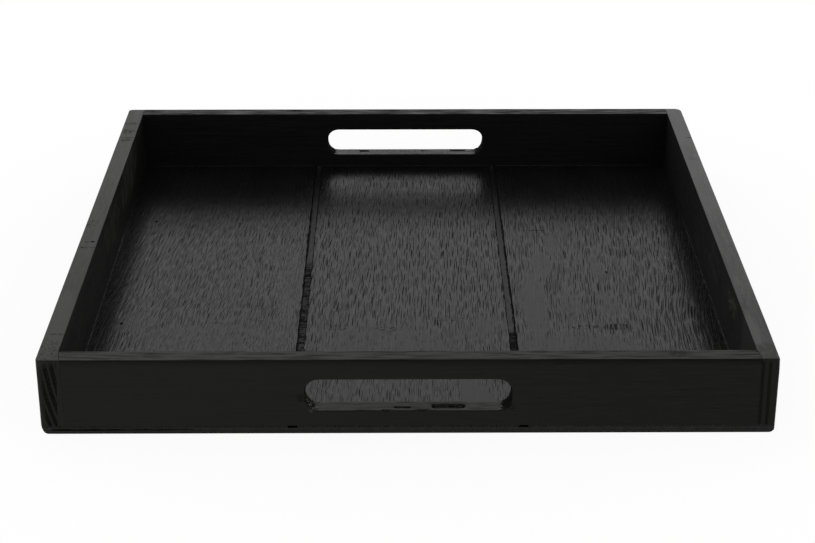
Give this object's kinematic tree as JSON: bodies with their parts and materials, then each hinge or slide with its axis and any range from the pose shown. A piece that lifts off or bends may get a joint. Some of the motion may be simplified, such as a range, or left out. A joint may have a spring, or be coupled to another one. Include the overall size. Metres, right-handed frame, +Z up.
{
  "type": "serving tray",
  "caption": "Square black-stained wooden tray with low butt-jointed sides, a hand slot in the front and back boards, and a plywood floor grooved to look like planks.",
  "frame": {"origin": "middle of the underside, on the surface that the tray stands on", "axes": "+X to the right, +Y to the back, +Z up; the front and back boards hold the hand slots"},
  "size_m": [0.4, 0.4, 0.045],
  "materials": {
    "board_wood": "black stain, satin, grain showing",
    "face_veneer": "black stain on open-pored veneer, satin",
    "core_veneer": "black stain on rough cross grain",
    "back_veneer": "black stain, matt",
    "brad_steel": "plain drawn wire, stained over",
    "filler": "sanded wood filler, stained black"
  },
  "bodies": {
    "root": {"front_board": "board_wood", "back_board": "board_wood", "left_side_board": "board_wood", "right_side_board": "board_wood", "left_face_plank": "face_veneer", "middle_face_plank": "face_veneer", "right_face_plank": "face_veneer", "core_ply": "core_veneer", "back_ply": "back_veneer", "front_left_corner_brads": "brad_steel", "front_right_corner_brads": "brad_steel", "back_left_corner_brads": "brad_steel", "back_right_corner_brads": "brad_steel", "left_filler_plugs": "filler", "right_filler_plugs": "filler", "front_base_brads": "brad_steel", "back_base_brads": "brad_steel", "left_base_brads": "brad_steel", "right_base_brads": "brad_steel"}
  },
  "joints": []
}
